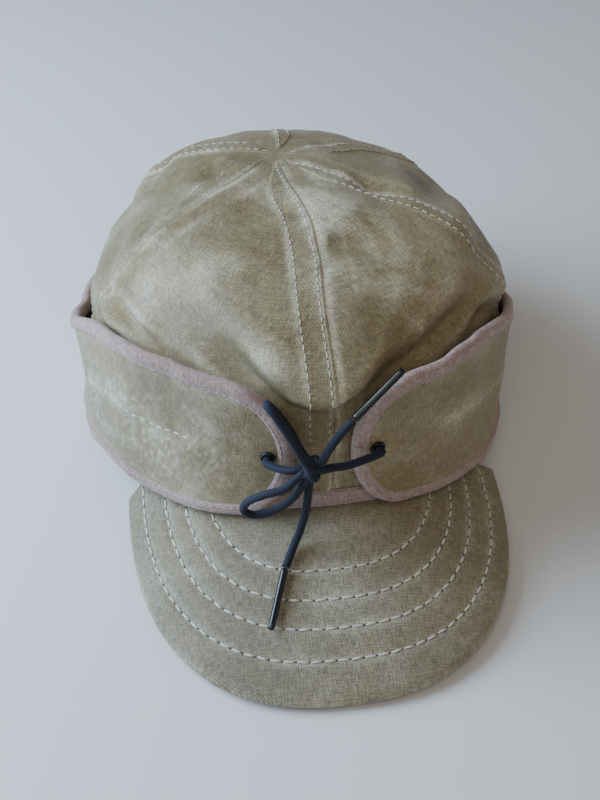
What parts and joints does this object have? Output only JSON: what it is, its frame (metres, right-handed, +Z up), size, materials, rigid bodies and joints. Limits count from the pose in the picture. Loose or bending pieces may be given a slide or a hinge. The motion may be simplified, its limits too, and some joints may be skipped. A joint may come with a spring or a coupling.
{
  "type": "earflap cap",
  "caption": "Six-panel waxed cloth work cap with a stiff stitched bill and a folded-up earband that pulls down, tied at the front with a black lace bow.",
  "frame": {"origin": "on the surface that the cap stands on, under the middle of its length and width, the lace left out", "axes": "+Z up, -Y along the bill, +X to the right as seen from the front"},
  "size_m": [0.19, 0.2827, 0.108],
  "materials": {
    "waxed_canvas": "waxed cotton, dull, worn pale along folds",
    "binding": "matt woven tape",
    "black_lining": "matt brushed cloth",
    "sweatband": "plain cotton twill",
    "bill_board": "plain board",
    "lace": "braided cord",
    "aglet": "shiny tube",
    "eyelet": "black lacquer"
  },
  "bodies": {
    "cap": {"crown_panel_front_right": "waxed_canvas", "crown_panel_side_right": "waxed_canvas", "crown_panel_back_right": "waxed_canvas", "crown_panel_back_left": "waxed_canvas", "crown_panel_side_left": "waxed_canvas", "crown_panel_front_left": "waxed_canvas", "bill_top_cover": "waxed_canvas", "bill_bottom_cover": "waxed_canvas", "earband_end_left_outer": "waxed_canvas", "earband_end_right_outer": "waxed_canvas", "base_binding": "binding", "earband_end_left_binding": "binding", "earband_end_right_binding": "binding", "crown_lining": "black_lining", "earband_end_left_lining": "black_lining", "earband_end_right_lining": "black_lining", "earband_gusset": "black_lining", "sweatband": "sweatband", "bill_core": "bill_board", "lace_strand_left": "lace", "lace_strand_right": "lace", "lace_loop_lower": "lace", "lace_loop_upper": "lace", "lace_tail_lower": "lace", "lace_tail_upper": "lace", "lace_knot": "lace", "aglet_lower": "aglet", "aglet_upper": "aglet", "eyelet_left": "eyelet", "eyelet_right": "eyelet", "eyelet_washer_left": "eyelet", "eyelet_washer_right": "eyelet"},
    "earband": {"earband_back_outer": "waxed_canvas", "earband_back_lining": "black_lining", "earband_back_top_binding": "binding", "earband_back_lower_binding": "binding"}
  },
  "joints": [
    {"name": "earband_drop", "type": "slide", "parent": "cap", "child": "earband", "axis": [0, 0, -1], "range_m": [0, 0.045], "deforming": ["earband_gusset"]}
  ]
}
